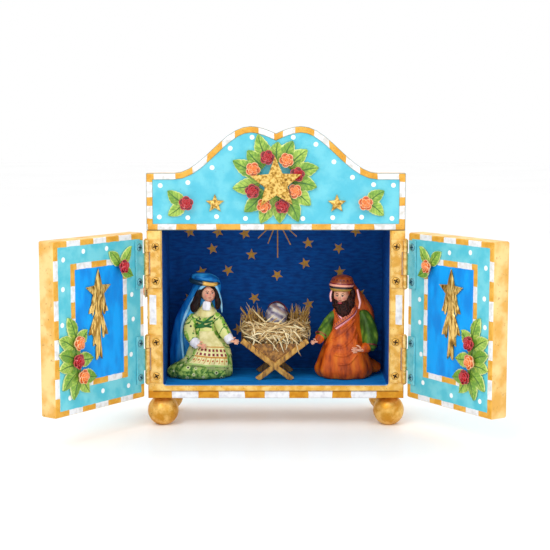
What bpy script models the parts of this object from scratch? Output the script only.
"""A small painted nativity theatre: a box on four ball feet, with a curved crest and two hinged doors.

Sizes are in millimetres and become metres when a mesh or a place is written. +Z is up, the front faces
-Y and +X is to the right. The origin lies under the middle of the whole object, doors open as shown.
Inside kneel a woman and a man, on either side of a manger with straw and a swaddled baby.
"""
import math

import bmesh
import bpy
from mathutils import Matrix, Vector

MM = 0.001
GAP = 0.3                   # space between two pieces that touch
SHORTEST_EDGE = 0.01        # corners nearer to each other than this after a Boolean become one
FLAT_ANGLE = 3.0            # degrees; faces that meet flatter than this after a Boolean become one

# Case
CASE_WIDTH = 200.0
CASE_DEPTH = 80.0
WALL = 11.8                 # side walls, which show as the stiles
FLOOR_THICKNESS = 10.0      # shows as the bottom rail
BACK_THICKNESS = 6.0
TOP_THICKNESS = 8.0
OPENING_HEIGHT = 122.0
OPENING_CORNER = 3.0        # radius of the two lower corners of the opening
OPENING_EASE = 1.5          # how far the front edge of the opening is eased
EDGE_EASE = 0.8

# Feet
FOOT_RADIUS = 12.2
FOOT_HEIGHT = 22.7
FOOT_FLAT_RADIUS = 4.5      # small flat that each ball stands on
FOOT_SIDE_INSET = 10.7      # middle of a foot, in from the side of the case
FOOT_END_INSET = 12.5       # middle of a foot, in from the front or the back of the case
FOOT_SIDES = 12

# Crest board
CREST_THICKNESS = 13.0
CREST_SHOULDER = 44.0       # height of the level ends
CREST_PEAK = 80.0           # height of the two peaks
CREST_DIP = 5.6             # depth of the notch between the peaks
CREST_PEAK_X = 19.5
CREST_SHOULDER_X = 79.0
CREST_RIM = 4.6
CREST_RECESS = 1.0

# Doors
DOOR_THICKNESS = 15.0
DOOR_MARGIN = 1.5           # door edge to the ends of the case front, top and bottom
DOOR_MEETING_GAP = 1.0      # between the two doors when they are closed
DOOR_HINGE_GAP = 0.5        # door edge to the hinge axis
DOOR_EASE = 1.2
LEFT_OPENING = 125.2        # degrees from closed, as shown
RIGHT_OPENING = 122.5

# Hinges
KNUCKLE_RADIUS = 2.0
PIN_RADIUS = 0.95
PIN_PLAY = 0.35             # between the pin and the bore
PIN_HEAD_RADIUS = 1.6
PIN_HEAD_HEIGHT = 0.7
HINGE_HEIGHT = 37.6
HINGE_LEAF_MARGIN = 0.8     # leaf to the edge of the opening
HINGE_LEAF_THICKNESS = 1.0
MIDDLE_KNUCKLE = 17.6
HINGE_UPPER_END = 7.2       # ceiling to the upper hinge
HINGE_LOWER_END = 2.5       # floor to the lower hinge
SCREW_RADIUS = 3.1
SCREW_TOP_RADIUS = 2.3
SCREW_HEIGHT = 0.7
SCREW_END = 5.4             # screw to the end of its leaf
SCREW_FROM_AXIS = 6.9
KNUCKLE_SIDES = 8
SCREW_SIDES = 6

# Reliefs: leaves, roses, stars and comets
LEAF_THICKNESS = 1.0
LEAF_RIB = 1.0              # how far the midrib stands above the edge of a leaf
LEAF_STEP = 0.15            # one leaf over the next where they overlap
LEAF_RISE = 0.5             # of a leaf, from its stalk to its tip
SUNK = 0.1                  # joining shapes start this far in, so that no two faces coincide
OVERSHOOT = 1.0             # of a cutter past what it cuts
WREATH_RING_SIDES = 10
ROSE_RADIUS = 5.8
ROSE_HEIGHT = 4.6
ROSE_PETALS = 5
STAR_THICKNESS = 1.1
STAR_RIDGE = 1.4
WREATH_CENTRE = 39.5        # height above the bottom of the crest
WREATH_RING = (14.0, 23.5)      # inner and outer radius of the ring behind the leaves
WREATH_RING_THICKNESS = 1.2
WREATH_LEAF_START = 15.0        # from the middle of the wreath
WREATH_LEAF_WIDTH = 12.5
WREATH_LEAVES = ((112, 37.0), (87, 28.5), (66, 32.0), (43, 33.0), (15, 34.0), (-11, 32.0), (-37, 33.5),
                 (-62, 37.0), (-85, 34.0), (-109, 36.0), (-134, 35.0), (-168, 34.0),
                 (157, 36.0), (135, 31.0))      # heading in degrees and radius of each tip
WREATH_ROSES = ((-6.6, 16.7), (8.1, 14.6), (16.4, 3.7), (14.4, -9.2), (4.9, -20.7), (-9.2, -20.2),
                (-18.1, -9.2), (-17.6, 7.5))    # across and up from the middle of the wreath
WREATH_STAR_RADIUS = 21.0
WREATH_STAR_DROP = 3.0          # middle of the star below the middle of the wreath
SMALL_STAR_RADIUS = 7.6
SPRIG_FROM_BOTTOM = 21.0    # roses and small stars above the bottom of the crest
SPRIG_X = 69.0
SPRIG_LEAF_START = 3.0
SPRIG_LEAF_WIDTH = 10.0
SPRIG_LEAF_TIPS = ((14.3, 9.5), (14.0, -9.5))   # outwards and up from the rose
SMALL_STAR_X = 47.0
COMET_RADIUS = 14.5
COMET_FROM_HINGE = 53.0
COMET_FROM_BOTTOM = 88.5
COMET_TAIL = 52.0
CORNER_FROM_HINGE = 28.0        # rose of the upper corner sprig, as the other places on a door
CORNER_FROM_TOP = 23.7          # that rose below the top of the door
CORNER_ROSE_RADIUS = 5.4
CORNER_LEAF_WIDTH = 9.0
CORNER_LEAF_TIPS = ((12.5, 12.0), (-11.5, 14.3), (-13.0, -8.3))     # from that rose
SPRAY_ROSES = ((78.0, 53.5), (79.0, 40.1), (74.0, 28.0))        # from the hinge and from the bottom
SPRAY_LEAF_WIDTH = 11.0
SPRAY_STEM = ((79.0, 58.0), (74.5, 22.0))
SPRAY_LEAVES = (((79, 57), (86, 72.7)), ((81, 50), (95.3, 57.8)), ((81, 42), (95.3, 46.6)),
                ((80, 37), (95.3, 35.5)), ((79, 31), (92.3, 20)), ((76, 28), (81.7, 11.7)),
                ((73, 28), (65, 14.6)), ((71, 29), (57, 25.4)), ((75, 41), (60.5, 40.2)),
                ((76, 53), (66.5, 61.8)))       # start and tip of each leaf
GARLAND_FROM_TOP = 14.0         # first leaves of the garland on the left wall, below the top of the case
GARLAND_STEM = (74.0, 6.0)      # length and width
GARLAND_LEAF = (16.0, 9.5)      # length and width
GARLAND_FIRST = 7.0             # first pair of leaves below the top of the stem
GARLAND_STEP = 17.8             # from one pair to the next
GARLAND_PAIRS = 4
GARLAND_SPREAD = (38.0, -20.0)  # degrees over the level of the first pair, and the change to the next
GARLAND_ROSES = (22.0, 46.0)    # below the top of the stem
GARLAND_RISE = 0.12             # lift of its leaf tips, as a share of their length

# Figures and manger
FIGURE_SIDES = 14
WOMAN_FROM_WALL = 30.2      # middle of the woman to the left wall
MAN_FROM_WALL = 32.2        # middle of the man to the right wall
FIGURES_FROM_FRONT = 38.0
WOMAN_HEIGHT = 84.5
MAN_HEIGHT = 82.5
MANGER_X = -0.9
MANGER_FRONT = 22.5         # behind the front of the case
MANGER_LENGTH = 39.0
MANGER_HEIGHT = 31.5
MANGER_CROSSING = 11.0      # height at which its legs cross
MANGER_SPREAD = 14.0        # foot of a leg to the middle
MANGER_BAR = 4.2
MANGER_BAR_DEPTH = 3.6
TROUGH_WALL = 2.0
STRAW_FOOT = 19.0           # half width of the part of the straw that fills the trough
STRAW_X = 1.5               # middle of the nest, to the right of the manger's
STRAW_SIDES = 16
STRAW_LEVELS = ((0, 22, 17, 0, 0.03), (5, 28, 21.5, 3, 0.05), (10, 28.5, 22, 12, 0.05),
                (11.5, 22, 18, 18, 0.05), (7, 13, 12.5, 8, 0))
BABY_RADII = (9.2, 8.5, 13.0)
BABY_TILT = -40.0
BABY_PLACE = (1.4, -1.0, 16.6)      # from the middle of the manger's rim

# Levels and places worked out from the sizes above
CASE_BOTTOM = FOOT_HEIGHT + GAP
FLOOR_TOP = CASE_BOTTOM + FLOOR_THICKNESS
CEILING = FLOOR_TOP + OPENING_HEIGHT
CASE_TOP = CEILING + TOP_THICKNESS
HALF_WIDTH = CASE_WIDTH / 2
OPENING_HALF = HALF_WIDTH - WALL
HINGE_LEAF_WIDTH = WALL - HINGE_LEAF_MARGIN
AXIS_FORWARD = KNUCKLE_RADIUS + GAP
DOOR_WIDTH = HALF_WIDTH - DOOR_HINGE_GAP - DOOR_MEETING_GAP / 2
DOOR_BOTTOM = CASE_BOTTOM + DOOR_MARGIN
DOOR_TOP = CEILING - DOOR_MARGIN
CORNER_FROM_BOTTOM = DOOR_TOP - DOOR_BOTTOM - CORNER_FROM_TOP
FIGURE_BASE = FLOOR_TOP + GAP
FIELD_DEPTH = CREST_RECESS
ROSE_LIFT = LEAF_THICKNESS + LEAF_RIB + LEAF_RISE + 2 * LEAF_STEP + GAP     # back of a rose over its leaves


def door_reach(opening):
    """How far a door opened by this angle stands in front of the case, at its free corner."""
    turn = math.radians(opening)
    length = DOOR_HINGE_GAP + DOOR_WIDTH
    return AXIS_FORWARD + length * math.sin(turn) + AXIS_FORWARD * math.cos(turn)


FRONT_Y = (max(door_reach(LEFT_OPENING), door_reach(RIGHT_OPENING)) - CASE_DEPTH) / 2


def clear_scene():
    """Remove whatever the file starts with."""
    for thing in list(bpy.data.objects):
        bpy.data.objects.remove(thing, do_unlink=True)


def make_material(name, colour, roughness, metallic=0.0):
    """A plain painted, gilded or wooden finish."""
    material = bpy.data.materials.get(name)
    if material is None:
        material = bpy.data.materials.new(name)
        material.use_nodes = True
        shader = material.node_tree.nodes["Principled BSDF"]
        shader.inputs["Base Color"].default_value = (*colour, 1.0)
        shader.inputs["Roughness"].default_value = roughness
        shader.inputs["Metallic"].default_value = metallic
    return material


MATERIALS = {
    "teal": ((0.12, 0.55, 0.67), 0.55, 0.0),
    "gold": ((0.68, 0.36, 0.06), 0.4, 0.7),
    "gilt wood": ((0.83, 0.50, 0.14), 0.5, 0.3),
    "leaf green": ((0.21, 0.42, 0.03), 0.5, 0.0),
    "rose red": ((0.45, 0.005, 0.012), 0.35, 0.0),
    "rose orange": ((0.90, 0.25, 0.05), 0.4, 0.0),
    "antique gold": ((0.55, 0.35, 0.07), 0.35, 0.9),
    "mantle blue": ((0.01, 0.21, 0.58), 0.45, 0.0),
    "robe orange": ((0.58, 0.10, 0.005), 0.45, 0.0),
    "bark": ((0.39, 0.18, 0.02), 0.6, 0.0),
    "straw": ((0.58, 0.39, 0.15), 0.8, 0.0),
    "linen": ((0.55, 0.53, 0.58), 0.6, 0.0),
}


def make_object(name, shape, finish, parent, frame=None):
    """Turn a shape in millimetres into a named object in metres, set in a frame under its parent."""
    if frame is not None:
        bmesh.ops.transform(shape, matrix=frame, verts=shape.verts)
    bmesh.ops.scale(shape, vec=(MM, MM, MM), verts=shape.verts)
    bmesh.ops.triangulate(shape, faces=shape.faces)
    bmesh.ops.recalc_face_normals(shape, faces=shape.faces)
    mesh = bpy.data.meshes.new(name)
    shape.to_mesh(mesh)
    shape.free()
    mesh.materials.append(make_material(finish, *MATERIALS[finish]))
    mesh.shade_smooth()
    mesh.set_sharp_from_angle(angle=math.radians(35))
    thing = bpy.data.objects.new(name, mesh)
    bpy.context.scene.collection.objects.link(thing)
    thing.parent = parent
    return thing


def make_empty(name, place, parent=None, turn=0.0):
    """An empty at a place in millimetres, turned about the vertical by an angle in degrees."""
    empty = bpy.data.objects.new(name, None)
    bpy.context.scene.collection.objects.link(empty)
    empty.parent = parent
    empty.location = Vector(place) * MM
    empty.rotation_euler = (0.0, 0.0, math.radians(turn))
    return empty


def stacked(loops):
    """A closed shape through loops of equally many points, with flat ends."""
    shape = bmesh.new()
    rings = [[shape.verts.new(point) for point in loop] for loop in loops]
    count = len(rings[0])
    for low, high in zip(rings, rings[1:]):
        for i in range(count):
            j = (i + 1) % count
            shape.faces.new((low[i], low[j], high[j], high[i]))
    shape.faces.new(rings[0][::-1])
    shape.faces.new(rings[-1])
    bmesh.ops.recalc_face_normals(shape, faces=shape.faces)
    return shape


def block(low, high):
    """A plain box between two corners."""
    (x0, y0, z0), (x1, y1, z1) = low, high
    return stacked([[(x0, y0, z), (x1, y0, z), (x1, y1, z), (x0, y1, z)] for z in (z0, z1)])


def lathe(profile, sides, centre=(0.0, 0.0, 0.0)):
    """Turn a profile of (radius, height) points about a vertical axis."""
    x, y, z = centre
    step = 2 * math.pi / sides
    return stacked([[(x + radius * math.cos(i * step), y + radius * math.sin(i * step), z + height)
                     for i in range(sides)] for radius, height in profile])


def prism(outline, start, end):
    """Push an outline of (x, z) points along Y."""
    return stacked([[(x, y, z) for x, z in outline] for y in (start, end)])


def oval(x, y, z, half_width, half_depth, sides=FIGURE_SIDES, folds=0, depth=0.0):
    """One level section of a figure: an oval whose edge waves in and out as folds of cloth."""
    loop = []
    for i in range(sides):
        turn = 2 * math.pi * i / sides
        wave = 1 + depth * math.cos(folds * turn)
        loop.append((x + half_width * wave * math.cos(turn), y + half_depth * wave * math.sin(turn), z))
    return loop


def drape(sections, folds=0, depth=0.0, sides=FIGURE_SIDES, grow=0.0):
    """A draped form through oval sections (height, x, y, half width, half depth).

    The folds die away from the hem at the bottom towards the top.
    """
    top = sections[-1][0]
    foot = sections[0][0]
    loops = []
    for height, x, y, half_width, half_depth in sections:
        fade = 1 - (height - foot) / (top - foot)
        loops.append(oval(x, y, height, half_width + grow, half_depth + grow, sides, folds, depth * fade))
    return stacked(loops)


def limb(points, radii, sides=8):
    """A tapering tube along points, for a sleeve or a lock of hair."""
    points = [Vector(point) for point in points]
    loops = []
    for i, point in enumerate(points):
        along = (points[min(i + 1, len(points) - 1)] - points[max(i - 1, 0)]).normalized()
        across = along.cross(Vector((0, 1, 0))).normalized()
        up = across.cross(along)
        loops.append([point + radii[i] * (across * math.cos(2 * math.pi * k / sides)
                                          + up * math.sin(2 * math.pi * k / sides)) for k in range(sides)])
    return stacked(loops)


def egg(centre, radii, tilt=0.0, grow=0.0, sides=12, bands=6, turn=0.0):
    """An ellipsoid, tilted about X and turned about Z by angles in degrees."""
    loops = []
    for k in range(bands + 1):
        lift = math.radians(-80 + 160 * k / bands)
        loops.append([((radii[0] + grow) * math.cos(lift) * math.cos(2 * math.pi * i / sides),
                       (radii[1] + grow) * math.cos(lift) * math.sin(2 * math.pi * i / sides),
                       (radii[2] + grow) * math.sin(lift)) for i in range(sides)])
    shape = stacked(loops)
    matrix = Matrix.Translation(centre) @ Matrix.Rotation(math.radians(turn), 4, "Z")
    matrix = matrix @ Matrix.Rotation(math.radians(tilt), 4, "X")
    bmesh.ops.transform(shape, matrix=matrix, verts=shape.verts)
    return shape


def combined(shape, others, operation):
    """Join shapes to a shape, or cut them from it or keep what they share, with one exact Boolean."""
    tools = bpy.data.collections.new("tools")
    things = []
    for source in [shape] + others:
        mesh = bpy.data.meshes.new("tool")
        source.to_mesh(mesh)
        source.free()
        things.append(bpy.data.objects.new("tool", mesh))
    base = things[0]
    bpy.context.scene.collection.objects.link(base)
    for tool in things[1:]:
        tools.objects.link(tool)
    modifier = base.modifiers.new("combine", "BOOLEAN")
    modifier.solver = "EXACT"
    modifier.operation = operation
    modifier.operand_type = "COLLECTION"
    modifier.collection = tools
    evaluated = base.evaluated_get(bpy.context.evaluated_depsgraph_get())
    result = bmesh.new()
    result.from_mesh(evaluated.to_mesh())
    evaluated.to_mesh_clear()
    for thing in things:
        mesh = thing.data
        bpy.data.objects.remove(thing)
        bpy.data.meshes.remove(mesh)
    bpy.data.collections.remove(tools)
    tidy(result)
    return result


def tidy(shape):
    """Keep the one outer skin that a Boolean leaves, without near-double corners and needless edges."""
    bmesh.ops.dissolve_limit(shape, angle_limit=math.radians(FLAT_ANGLE), verts=shape.verts, edges=shape.edges)
    bmesh.ops.remove_doubles(shape, verts=shape.verts, dist=SHORTEST_EDGE)
    bmesh.ops.triangulate(shape, faces=shape.faces)
    skins = []
    waiting = set(shape.verts)
    while waiting:
        skin = set()
        edge = [next(iter(waiting))]
        while edge:
            vert = edge.pop()
            if vert not in skin:
                skin.add(vert)
                edge.extend(link.other_vert(vert) for link in vert.link_edges)
        waiting -= skin
        skins.append(skin)
    skins.sort(key=len)
    inner = [vert for skin in skins[:-1] for vert in skin]
    bmesh.ops.delete(shape, geom=inner, context="VERTS")


def united(shapes):
    """One closed shape out of several that overlap."""
    return combined(shapes[0], shapes[1:], "UNION")


def cut(shape, tools):
    """A shape less its cutters."""
    return combined(shape, tools, "DIFFERENCE")


def rounded_rectangle(left, right, bottom, top, radius, steps=3):
    """Outline of a rectangle in X and Z with round corners, from the lower right corner round."""
    corners = ((right - radius, bottom + radius, -90), (right - radius, top - radius, 0),
               (left + radius, top - radius, 90), (left + radius, bottom + radius, 180))
    outline = []
    for x, z, start in corners:
        for k in range(steps + 1):
            turn = math.radians(start + 90 * k / steps)
            outline.append((x + radius * math.cos(turn), z + radius * math.sin(turn)))
    return outline


def inset(outline, distance):
    """Move each point of an outline inwards, square to the two edges that meet there."""
    result = []
    count = len(outline)
    for i in range(count):
        before, here, after = (Vector(outline[(i + k) % count]) for k in (-1, 0, 1))
        first = (here - before).normalized()
        second = (after - here).normalized()
        normal = Vector((-first.y - second.y, first.x + second.x)).normalized()
        reach = distance / max(0.35, normal.dot(Vector((-first.y, first.x))))
        result.append(tuple(here + normal * reach))
    return result


def level(outline, y):
    """Stand an outline of (x, z) points at a depth."""
    return [(x, y, z) for x, z in outline]


def build_case(parent):
    """The box: two walls, floor, back and top in one, with a seat cut for the crest board."""
    outer = [(HALF_WIDTH, CASE_BOTTOM), (HALF_WIDTH, CASE_TOP), (-HALF_WIDTH, CASE_TOP),
             (-HALF_WIDTH, CASE_BOTTOM)]
    eased = inset(outer, EDGE_EASE)
    shell = stacked([level(eased, 0), level(outer, EDGE_EASE), level(outer, CASE_DEPTH - EDGE_EASE),
                     level(eased, CASE_DEPTH)])

    def opening(grow):
        """Outline of the hollow, square above and round at its two lower corners."""
        outline = rounded_rectangle(-OPENING_HALF - grow, OPENING_HALF + grow, FLOOR_TOP - grow,
                                    CEILING + grow, OPENING_CORNER + grow)
        return [(x, z) if z < CEILING - 2 * OPENING_CORNER else
                (math.copysign(OPENING_HALF + grow, x), z) for x, z in outline]

    hollow = stacked([level(opening(OPENING_EASE + OVERSHOOT), -OVERSHOOT), level(opening(0), OPENING_EASE),
                      level(opening(0), CASE_DEPTH - BACK_THICKNESS)])
    seat = block((-HALF_WIDTH - OVERSHOOT, -OVERSHOOT, CEILING - GAP),
                 (HALF_WIDTH + OVERSHOOT, CREST_THICKNESS + GAP, CASE_TOP + OVERSHOOT))
    return make_object("case", cut(shell, [hollow, seat]), "gilt wood", parent)


def build_foot(name, x, y, parent):
    """A ball foot, flat below and above."""
    profile = []
    bands = 4
    low = math.asin(FOOT_FLAT_RADIUS / FOOT_RADIUS)
    for k in range(bands + 1):
        turn = low + (math.pi - 2 * low) * k / bands
        height = FOOT_HEIGHT / 2 * (1 - math.cos(turn) / math.cos(low))
        profile.append((FOOT_RADIUS * math.sin(turn), height))
    make_object(name, lathe(profile, FOOT_SIDES, (x, y, 0)), "gold", parent)


def crest_edge(x):
    """Height of the top of the crest: a level shoulder, an S-curve to the peak, a dip to the middle."""
    x = abs(x)
    if x >= CREST_SHOULDER_X:
        return CREST_SHOULDER
    if x >= CREST_PEAK_X:
        share = (CREST_SHOULDER_X - x) / (CREST_SHOULDER_X - CREST_PEAK_X)
        return CREST_SHOULDER + (CREST_PEAK - CREST_SHOULDER) * (1 - math.cos(math.pi * share)) / 2
    share = (CREST_PEAK_X - x) / CREST_PEAK_X
    return CREST_PEAK - CREST_DIP * share ** 1.7


def build_crest(parent):
    """The crest board, with a raised rim round a sunk field."""
    rise, dip = 10, 5
    xs = [HALF_WIDTH]
    xs += [CREST_SHOULDER_X + (CREST_PEAK_X - CREST_SHOULDER_X) * k / rise for k in range(rise + 1)]
    xs += [CREST_PEAK_X * (1 - k / dip) for k in range(1, dip + 1)]
    xs += [-x for x in reversed(xs[:-1])]
    outline = [(-HALF_WIDTH, 0.0), (HALF_WIDTH, 0.0)] + [(x, crest_edge(x)) for x in xs]
    outline = [(x, z + CEILING) for x, z in outline]
    eased = inset(outline, EDGE_EASE)
    rim = inset(outline, CREST_RIM)
    field = inset(outline, CREST_RIM + CREST_RECESS / 2)
    shape = stacked([level(eased, CREST_THICKNESS), level(outline, CREST_THICKNESS - EDGE_EASE),
                     level(outline, EDGE_EASE), level(eased, 0), level(rim, 0), level(field, FIELD_DEPTH)])
    make_object("crest", shape, "teal", parent)


def build_door(name, side, pivot):
    """A door slab, modelled closed about its hinge axis; side is -1 for left and 1 for right."""
    start, end = sorted((-side * DOOR_HINGE_GAP, -side * (DOOR_HINGE_GAP + DOOR_WIDTH)))
    outline = rounded_rectangle(start, end, DOOR_BOTTOM, DOOR_TOP, DOOR_EASE, 2)
    eased = inset(outline, EDGE_EASE)
    inner = -AXIS_FORWARD
    outer = inner - DOOR_THICKNESS
    shape = stacked([level(eased, inner), level(outline, inner - DOOR_EASE), level(outline, outer + DOOR_EASE),
                     level(eased, outer)])
    make_object(name, shape, "teal", pivot)


def knuckle_spans(on_case):
    """Heights, from the middle of the hinge, of the knuckles that belong to one leaf."""
    half = HINGE_HEIGHT / 2
    middle = MIDDLE_KNUCKLE / 2
    if on_case:
        return [(-half, -middle - GAP), (middle + GAP, half)]
    return [(-middle, middle)]


def build_hinge_leaf(name, side, on_case, height, parent):
    """One leaf of a butt hinge about its axis, with its knuckles and its two screw heads.

    The leaf reaches from the axis towards the middle of the case. The leaf on the case lies behind the
    axis and the leaf on the door, modelled closed, lies in front of it.
    """
    way = 1 if on_case else -1
    half = HINGE_HEIGHT / 2
    back = AXIS_FORWARD - GAP - SUNK / 2
    front = back - HINGE_LEAF_THICKNESS
    bore = PIN_RADIUS + PIN_PLAY
    room = (KNUCKLE_RADIUS + GAP) / math.cos(math.pi / KNUCKLE_SIDES)
    leaf = [block((0, front, -half), (HINGE_LEAF_WIDTH, back, half))]
    leaf += [lathe([(KNUCKLE_RADIUS, low), (KNUCKLE_RADIUS, high)], KNUCKLE_SIDES)
             for low, high in knuckle_spans(on_case)]
    for end in (-1, 1):
        screw = lathe([(SCREW_RADIUS, -SUNK), (SCREW_TOP_RADIUS, SCREW_HEIGHT)], SCREW_SIDES)
        face = Matrix.Translation((SCREW_FROM_AXIS, front, end * (half - SCREW_END)))
        bmesh.ops.transform(screw, matrix=face @ Matrix.Rotation(math.pi / 2, 4, "X"), verts=screw.verts)
        leaf.append(screw)
    cutters = [lathe([(bore, -half - OVERSHOOT), (bore, half + OVERSHOOT)], KNUCKLE_SIDES)]
    cutters += [lathe([(room, low - GAP), (room, high + GAP)], KNUCKLE_SIDES)
                for low, high in knuckle_spans(not on_case)]
    shape = cut(united(leaf), cutters)
    frame = Matrix.Translation((0, 0, height)) @ Matrix.Diagonal((-side, way, 1, 1))
    make_object(name, shape, "gold", parent, frame)


def build_hinge_pin(name, x, height, parent):
    """A headed pin through the knuckles of one hinge."""
    half = HINGE_HEIGHT / 2 + GAP
    head = half + PIN_HEAD_HEIGHT
    profile = [(PIN_RADIUS, -head), (PIN_HEAD_RADIUS, -half), (PIN_RADIUS, -half),
               (PIN_RADIUS, half), (PIN_HEAD_RADIUS, half), (PIN_RADIUS, head)]
    make_object(name, lathe(profile, KNUCKLE_SIDES, (x, -AXIS_FORWARD, height)), "gold", parent)


def leaf_shape(across, up, heading, length, width, lift=0.0, rise=0.12):
    """A leaf lying on a surface: a pointed oval with a raised midrib, its tip lifted a little.

    It is drawn as (across, up, out of the surface), from its stalk towards its heading in degrees.
    """
    shape = bmesh.new()
    stations = ((0.0, 0.40), (0.45, 1.0), (0.80, 0.56))
    rows = []
    for along, share in stations:
        edge = width / 2 * share
        top = LEAF_THICKNESS + rise * length * along * 0.5
        rows.append([shape.verts.new((along * length, offset, out)) for offset, out in (
            (-edge, 0.0), (-edge, top), (0.0, top + LEAF_RIB), (edge, top), (edge, 0.0))])
    tip_top = shape.verts.new((length, 0.0, LEAF_THICKNESS + rise * length * 0.5 + LEAF_RIB * 0.4))
    tip_bottom = shape.verts.new((length, 0.0, 0.0))
    for low, high in zip(rows, rows[1:]):
        for i in range(5):
            j = (i + 1) % 5
            shape.faces.new((low[i], low[j], high[j], high[i]))
    shape.faces.new(rows[0])
    last = rows[-1]
    shape.faces.new((last[1], last[2], tip_top))
    shape.faces.new((last[2], last[3], tip_top))
    shape.faces.new((last[0], last[1], tip_top, tip_bottom))
    shape.faces.new((last[3], last[4], tip_bottom, tip_top))
    shape.faces.new((last[4], last[0], tip_bottom))
    bmesh.ops.recalc_face_normals(shape, faces=shape.faces)
    matrix = Matrix.Translation((across, up, lift)) @ Matrix.Rotation(math.radians(heading), 4, "Z")
    bmesh.ops.transform(shape, matrix=matrix, verts=shape.verts)
    return shape


def leaf_between(start, tip, width, lift=0.0, rise=0.05):
    """A leaf from its stalk to its tip, both given as (across, up)."""
    reach = Vector(tip) - Vector(start)
    heading = math.degrees(math.atan2(reach.y, reach.x))
    return leaf_shape(*start, heading, reach.length, width, lift, rise)


def rose_shape(radius=ROSE_RADIUS, height=ROSE_HEIGHT):
    """A rose seen from the front: an outer ring of petals round a raised bud."""
    sides = 2 * ROSE_PETALS
    rings = ((0.82, 0.0, 0.0), (1.0, 0.45, 0.035), (0.50, 1.0, -0.06))
    loops = []
    for share, lift, lobe in rings:
        loops.append([(radius * share * (1 + lobe * (-1) ** i) * math.cos(math.pi * i / ROSE_PETALS),
                       radius * share * (1 + lobe * (-1) ** i) * math.sin(math.pi * i / ROSE_PETALS),
                       height * lift) for i in range(sides)])
    return stacked(loops)


def star_shape(radius, turn=90.0, inner=0.44, stretch=1.0, thickness=STAR_THICKNESS, ridge=STAR_RIDGE):
    """A five-pointed star with a ridge along each arm; its first arm is longer by the stretch."""
    shape = bmesh.new()
    low, high = [], []
    for i in range(10):
        reach = radius * (inner if i % 2 else (stretch if i == 0 else 1.0))
        angle = math.radians(turn + 36 * i)
        low.append(shape.verts.new((reach * math.cos(angle), reach * math.sin(angle), 0.0)))
        high.append(shape.verts.new((reach * math.cos(angle), reach * math.sin(angle), thickness)))
    apex = shape.verts.new((0.0, 0.0, thickness + ridge))
    for i in range(10):
        j = (i + 1) % 10
        shape.faces.new((low[i], low[j], high[j], high[i]))
        shape.faces.new((high[i], high[j], apex))
    shape.faces.new(low[::-1])
    bmesh.ops.recalc_face_normals(shape, faces=shape.faces)
    return shape


def ribbon_shape(heading, length, start_width, end_width, lift):
    """A flat ribbon of a comet's tail, from the star outwards, with a notched end."""
    outline = [(0.0, -start_width / 2), (length, -end_width / 2), (length - end_width * 0.55, 0.0),
               (length, end_width / 2), (0.0, start_width / 2)]
    shape = stacked([[(x, y, z) for x, y in outline] for z in (lift, STAR_THICKNESS + lift)])
    bmesh.ops.transform(shape, matrix=Matrix.Rotation(math.radians(heading), 4, "Z"), verts=shape.verts)
    return shape


def comet_shape():
    """A star with a tail of three ribbons that hang down, the middle one longest."""
    side_length = COMET_TAIL * 0.62
    star = star_shape(COMET_RADIUS, stretch=1.2)
    ribbons = [ribbon_shape(-90, COMET_TAIL, 3.2, 6.0, 0.35), ribbon_shape(-74, side_length, 2.8, 7.0, 0.12),
               ribbon_shape(-106, side_length, 2.8, 7.0, 0.22)]
    return united([star] + ribbons)


def on_crest(x, height, lift):
    """Frame of a relief on the crest's field: x across, height above the crest's bottom."""
    return Matrix(((1, 0, 0, x), (0, 0, -1, FIELD_DEPTH - GAP - lift), (0, 1, 0, CEILING + height), (0, 0, 0, 1)))


def on_door(side, from_hinge, from_bottom, lift):
    """Frame of a relief on a door's inner face, about the hinge axis with the door closed."""
    across = -side * (DOOR_HINGE_GAP + from_hinge)
    up = DOOR_BOTTOM + from_bottom
    return Matrix(((-side, 0, 0, across), (0, 0, 1, -AXIS_FORWARD + GAP + lift), (0, 1, 0, up), (0, 0, 0, 1)))


def on_left_wall(from_front, height, lift):
    """Frame of a relief on the outside of the left wall."""
    return Matrix(((0, 0, -1, -HALF_WIDTH - GAP - lift), (-1, 0, 0, from_front), (0, 1, 0, height), (0, 0, 0, 1)))


def build_wreath(parent):
    """The wreath on the crest: a ring of leaves, eight roses in two colours and a large star over them."""
    inner, outer = WREATH_RING
    ring = cut(lathe([(outer, SUNK), (outer, WREATH_RING_THICKNESS)], WREATH_RING_SIDES),
               [lathe([(inner, -OVERSHOOT), (inner, WREATH_RING_THICKNESS + OVERSHOOT)], WREATH_RING_SIDES)])
    leaves = [ring]
    for i, (heading, tip) in enumerate(WREATH_LEAVES):
        turn = math.radians(heading)
        way = Vector((math.cos(turn), math.sin(turn)))
        leaves.append(leaf_between(way * WREATH_LEAF_START, way * tip, WREATH_LEAF_WIDTH, LEAF_STEP * (i % 3)))
    make_object("wreath_leaves", united(leaves), "leaf green", parent, on_crest(0, WREATH_CENTRE, 0))
    for i, (across, up) in enumerate(WREATH_ROSES):
        colour = "rose orange" if i % 2 else "rose red"
        make_object(f"wreath_rose_{i + 1}", rose_shape(), colour, parent,
                    on_crest(across, WREATH_CENTRE + up, ROSE_LIFT))
    make_object("wreath_star", star_shape(WREATH_STAR_RADIUS, 92), "antique gold", parent,
                on_crest(0, WREATH_CENTRE - WREATH_STAR_DROP, ROSE_LIFT + ROSE_HEIGHT + GAP))


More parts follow.
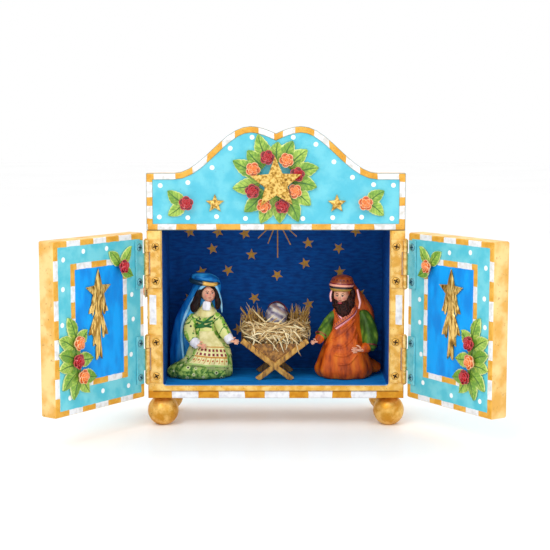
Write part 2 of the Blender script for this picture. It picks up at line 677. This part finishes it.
def build_crest_trim(parent):
    """The two small stars and the two sprigs of a rose and two leaves, low on the crest."""
    for side, word, colour in ((-1, "left", "rose red"), (1, "right", "rose orange")):
        make_object(f"crest_star_{word}", star_shape(SMALL_STAR_RADIUS), "antique gold", parent,
                    on_crest(side * SMALL_STAR_X, SPRIG_FROM_BOTTOM - 0.5, 0))
        leaves = [leaf_between((side * SPRIG_LEAF_START, 0.0), (side * out, up), SPRIG_LEAF_WIDTH, LEAF_STEP * i)
                  for i, (out, up) in enumerate(SPRIG_LEAF_TIPS)]
        make_object(f"crest_leaves_{word}", united(leaves), "leaf green", parent,
                    on_crest(side * SPRIG_X, SPRIG_FROM_BOTTOM, 0))
        make_object(f"crest_rose_{word}", rose_shape(), colour, parent,
                    on_crest(side * SPRIG_X, SPRIG_FROM_BOTTOM, ROSE_LIFT))


def build_door_trim(word, side, pivot):
    """The comet, the corner sprig and the lower spray on the inner face of a door."""
    make_object(f"{word}_door_comet", comet_shape(), "antique gold", pivot,
                on_door(side, COMET_FROM_HINGE, COMET_FROM_BOTTOM, 0))
    colours = ("rose red", "rose orange") if side < 0 else ("rose orange", "rose red")
    corner = [leaf_between((0.0, 0.0), tip, CORNER_LEAF_WIDTH, LEAF_STEP * i)
              for i, tip in enumerate(CORNER_LEAF_TIPS)]
    make_object(f"{word}_door_corner_leaves", united(corner), "leaf green", pivot,
                on_door(side, CORNER_FROM_HINGE, CORNER_FROM_BOTTOM, 0))
    make_object(f"{word}_door_corner_rose", rose_shape(CORNER_ROSE_RADIUS), colours[0], pivot,
                on_door(side, CORNER_FROM_HINGE, CORNER_FROM_BOTTOM, ROSE_LIFT))
    spray = [leaf_between(*SPRAY_STEM, SPRAY_LEAF_WIDTH, SUNK, 0.0)]
    spray += [leaf_between(start, tip, SPRAY_LEAF_WIDTH, LEAF_STEP * (i % 3))
              for i, (start, tip) in enumerate(SPRAY_LEAVES)]
    make_object(f"{word}_door_spray_leaves", united(spray), "leaf green", pivot, on_door(side, 0, 0, 0))
    for i, (across, up) in enumerate(SPRAY_ROSES):
        make_object(f"{word}_door_spray_rose_{i + 1}", rose_shape(), colours[(i + 1) % 2], pivot,
                    on_door(side, across, up, ROSE_LIFT))


def build_garland(parent):
    """A spray of leaves with two roses down the outside of the left wall."""
    length, width = GARLAND_LEAF
    start, change = GARLAND_SPREAD
    leaves = [leaf_shape(0.0, 0.0, -90, *GARLAND_STEM, SUNK, 0.0),
              leaf_shape(0.0, -GARLAND_FIRST, 88, length, width, 0.0, GARLAND_RISE)]
    for k in range(GARLAND_PAIRS):
        up = -GARLAND_FIRST - GARLAND_STEP * k
        spread = start + change * k
        leaves.append(leaf_shape(0.5, up, spread, length, width, LEAF_STEP, GARLAND_RISE))
        leaves.append(leaf_shape(-0.5, up - 3, 180 - spread, length, width, 2 * LEAF_STEP, GARLAND_RISE))
    middle = CASE_DEPTH / 2
    top = CASE_TOP - GARLAND_FROM_TOP
    make_object("side_leaves", united(leaves), "leaf green", parent, on_left_wall(middle, top, 0))
    for i, (down, colour) in enumerate(zip(GARLAND_ROSES, ("rose red", "rose orange"))):
        make_object(f"side_rose_{i + 1}", rose_shape(), colour, parent,
                    on_left_wall(middle, top - down, ROSE_LIFT))


def build_woman(parent):
    """The kneeling woman: dress, apron, long mantle over the head, hair, sleeves and open hands."""
    dress = [(0, -3, 0, 24, 15.5), (4, -3.5, 0, 26.5, 16.5), (12, -0.5, -0.5, 23.5, 16), (20, 3, -1, 19, 14.5),
             (27, 4, 0, 16, 12), (34, 1, 3, 10.5, 8.5), (44, 0.5, 4, 10.5, 7.5), (52, 0.5, 4, 10.5, 6.5),
             (57, 2, 3, 5.5, 5), (61, 3, 2, 3.5, 3.5)]
    mantle = [(3, -21.5, 11, 7, 6), (20, -18.5, 11, 10, 7.5), (35, -14, 10, 12, 8.5), (48, -9, 9, 13.5, 8.5),
              (58, -4, 8, 13.5, 8), (68, 0.3, 7.5, 12, 7.5), (74, 1, 5.5, 11, 9.5), (80, 0.8, 4.5, 9.5, 9),
              (84.5, -1.5, 4.5, 5, 4.5)]
    apron = combined(drape(dress[2:6], grow=0.9, sides=FIGURE_SIDES), [block((-3, -25, 11), (17, 0, 29))],
                     "INTERSECT")
    shapes = [drape(dress, 9, 0.045), drape(mantle, 5, 0.06), apron,
              egg((3.7, 0.4, 67.4), (5.7, 6.0, 7.2), 6, sides=12, bands=6),
              limb(((-2.5, 0, 73), (-6, -1.5, 63), (-8.5, -1.5, 53.5)), (2.6, 3.6, 2.2), 6),
              limb(((9, 0.5, 72), (11, -1, 62), (11.5, -1, 54.5)), (2.0, 2.8, 1.7), 6),
              limb(((8, 3, 49.5), (16, -3, 39.5), (20.5, -8.5, 31)), (5.0, 4.9, 3.6)),
              limb(((18.8, -7.2, 33.4), (23.2, -10.6, 29.2), (27.2, -12.0, 28.6)), (1.6, 2.7, 1.3), 6),
              limb(((-8, 3, 49.5), (-13, -5, 36.5), (-4.5, -13, 28)), (5.2, 5.2, 3.6)),
              limb(((-6.5, -11.4, 29.6), (-1.6, -14.6, 26.6), (3.2, -15.9, 25.5)), (1.6, 2.6, 1.4), 6)]
    place = Matrix.Translation((WOMAN_FROM_WALL - OPENING_HALF, FIGURES_FROM_FRONT, FIGURE_BASE))
    place = place @ Matrix.Scale(WOMAN_HEIGHT / mantle[-1][0], 4)
    make_object("woman", united(shapes), "mantle blue", parent, place)


def build_man(parent):
    """The kneeling man: robe, trailing foot, head cloth and cap, beard, sleeves and open hands."""
    robe = [(0, 2.5, 0, 23.5, 16.5), (5, 2.5, 0, 25.5, 18), (14, 1.5, -0.5, 23, 16.5), (23, 1, -0.5, 19.5, 14.5),
            (31, 0.5, 1, 17, 12.5), (41, 0.5, 3.5, 15.5, 10.5), (50, 1.5, 4, 14.5, 9.5), (56, 1.5, 4, 10.5, 8),
            (61, -0.5, 3, 5, 5), (65, -2.5, 1.5, 3.8, 3.8)]
    cloth = [(34, 14, 11, 7, 5), (44, 14, 10, 10.5, 7.5), (54, 9.5, 9, 13, 8.5), (62, 4.5, 8, 13, 8.5),
             (70, 0, 6, 11, 8.5), (77, -2, 4.5, 8, 7)]
    cap = [(69.5, -3.3, 1.2, 9.0, 8.6), (73, -3.3, 1.2, 9.8, 9.4), (78.5, -2.6, 2.2, 8.8, 8.6),
           (82.5, -2, 3, 4.6, 4.6)]
    shapes = [drape(robe, 8, 0.04), drape(cloth, 5, 0.05), drape(cap, 0, 0.0, 14),
              egg((-3.3, 0.2, 64.8), (5.9, 6.2, 7.0), 6, sides=12, bands=6),
              egg((-2.6, -3.0, 57.0), (5.9, 4.0, 8.0), -8, sides=10, bands=4),
              limb(((12, 8, 7), (22, 10, 6), (30.3, 12, 4.6)), (7, 5.5, 3.4)),
              limb(((-10, 3, 49), (-17, -3, 39), (-21.5, -8.5, 31)), (6.4, 5.8, 4.2)),
              limb(((-19.4, -6.8, 33.6), (-24.2, -10.6, 29.2), (-27.4, -12.0, 28.6)), (1.7, 2.8, 1.3), 6),
              limb(((13, 3.5, 49.5), (20, -2.5, 36.5), (16.5, -10.5, 24.5)), (7.6, 6.6, 4.6)),
              limb(((18.4, -8.6, 26.4), (12.0, -13.8, 22.6), (6.4, -15.4, 21.6)), (1.7, 2.7, 1.4), 6)]
    place = Matrix.Translation((OPENING_HALF - MAN_FROM_WALL, FIGURES_FROM_FRONT, FIGURE_BASE))
    place = place @ Matrix.Scale(MAN_HEIGHT / cap[-1][0], 4)
    make_object("man", united(shapes), "robe orange", parent, place)


def bar_outline(foot_x, rise):
    """A manger leg in X and Z: from a foot on the floor, through the crossing, up to the trough's rim.

    Its foot is cut level and its upper end is cut square.
    """
    along = Vector((-foot_x, MANGER_CROSSING)).normalized()
    across = Vector((-along.y, along.x)) * MANGER_BAR / 2
    top = Vector((foot_x, 0.0)) + along * (rise / along.y)
    slope = along.x / along.y
    foot = [(foot_x + across.x - slope * across.y, 0.0), (foot_x - across.x + slope * across.y, 0.0)]
    outline = [foot[0], foot[1], tuple(top - across), tuple(top + across)]
    return outline


def trough_outline(wall, rim):
    """The trough's V in X and Z, set in from the legs' centre lines by a wall, up to a rim height."""
    slope = MANGER_CROSSING / MANGER_SPREAD
    bottom = MANGER_CROSSING + wall * math.sqrt(1 + slope * slope)
    half = (rim - bottom) / slope
    return [(0.0, bottom), (half, rim), (-half, rim)]


def in_manger():
    """Frame of the manger, at the middle of its front feet."""
    return Matrix.Translation((MANGER_X, MANGER_FRONT, FIGURE_BASE))


def build_manger(parent):
    """Two crossed pairs of legs with a V-shaped trough between them."""
    legs = []
    for start in (0.0, MANGER_LENGTH - MANGER_BAR_DEPTH):
        for sign in (-1, 1):
            leg = bar_outline(sign * MANGER_SPREAD, MANGER_HEIGHT)
            legs.append(prism(leg, start + SUNK * (sign + 1), start + MANGER_BAR_DEPTH))
    rim = MANGER_HEIGHT - MANGER_BAR / 2
    end = MANGER_BAR_DEPTH / 2
    hollow = prism(trough_outline(TROUGH_WALL, rim + MANGER_BAR), end + TROUGH_WALL,
                   MANGER_LENGTH - end - TROUGH_WALL)
    trough = cut(prism(trough_outline(0.0, rim), end, MANGER_LENGTH - end), [hollow])
    make_object("manger", united(legs + [trough]), "bark", parent, in_manger())


def baby_centre():
    """Middle of the swaddled baby, in the manger's own frame."""
    x, y, z = BABY_PLACE
    return (x, MANGER_LENGTH / 2 + y, MANGER_HEIGHT + z)


def build_straw(parent):
    """A nest of straw that fills the trough and heaps up at both ends, hollowed for the baby.

    Each of its levels is (height over the manger's bars, half width, half depth, rise of both ends,
    roughness of the edge); behind, the edge rises less, and in front it stays low.
    """
    base = MANGER_HEIGHT + MANGER_BAR / 2 + GAP
    loops = []
    for height, half_width, half_depth, lift, spread in STRAW_LEVELS:
        loop = []
        for i in range(STRAW_SIDES):
            turn = 2 * math.pi * i / STRAW_SIDES
            rise = lift * max(abs(math.cos(turn)) ** 1.5, 0.7 * math.sin(turn))
            rough = 1 + spread * math.cos(5 * turn + 0.9 * height)
            loop.append((STRAW_X + half_width * rough * math.cos(turn),
                         MANGER_LENGTH / 2 + half_depth * rough * math.sin(turn), base + height + rise))
        loops.append(loop)
    inside = TROUGH_WALL + GAP
    end = MANGER_BAR_DEPTH / 2 + inside
    wedge = prism(trough_outline(inside, base + MANGER_BAR), end, MANGER_LENGTH - end)
    clip = block((-STRAW_FOOT, 0, 0), (STRAW_FOOT, MANGER_LENGTH, base + SUNK))
    shape = united([stacked(loops), combined(wedge, [clip], "INTERSECT")])
    shape = cut(shape, [egg(baby_centre(), BABY_RADII, BABY_TILT, GAP)])
    make_object("straw", shape, "straw", parent, in_manger())


def build_baby(parent):
    """The swaddled baby, an egg-shaped bundle lying back in the straw."""
    make_object("baby", egg(baby_centre(), BABY_RADII, BABY_TILT), "linen", parent, in_manger())


def build():
    """Make every piece."""
    clear_scene()
    root = make_empty("retablo", (0.0, FRONT_Y, 0.0))
    build_case(root)
    build_crest(root)
    for end, row in (("front", FOOT_END_INSET), ("rear", CASE_DEPTH - FOOT_END_INSET)):
        for side, word in ((-1, "left"), (1, "right")):
            build_foot(f"foot_{end}_{word}", side * (HALF_WIDTH - FOOT_SIDE_INSET), row, root)
    build_wreath(root)
    build_crest_trim(root)
    build_garland(root)
    heights = {"upper": CEILING - HINGE_UPPER_END - HINGE_HEIGHT / 2,
               "lower": FLOOR_TOP + HINGE_LOWER_END + HINGE_HEIGHT / 2}
    for side, word, opening in ((-1, "left", LEFT_OPENING), (1, "right", RIGHT_OPENING)):
        axis = side * HALF_WIDTH
        pivot = make_empty(f"{word}_hinge_axis", (axis, -AXIS_FORWARD, 0.0), root, side * opening)
        case_side = make_empty(f"{word}_case_hinge_line", (axis, -AXIS_FORWARD, 0.0), root)
        build_door(f"door_{word}", side, pivot)
        build_door_trim(word, side, pivot)
        for place, height in heights.items():
            build_hinge_leaf(f"{word}_{place}_hinge_case_leaf", side, True, height, case_side)
            build_hinge_leaf(f"{word}_{place}_hinge_door_leaf", side, False, height, pivot)
            build_hinge_pin(f"{word}_{place}_hinge_pin", axis, height, root)
    build_woman(root)
    build_man(root)
    build_manger(root)
    build_straw(root)
    build_baby(root)


build()
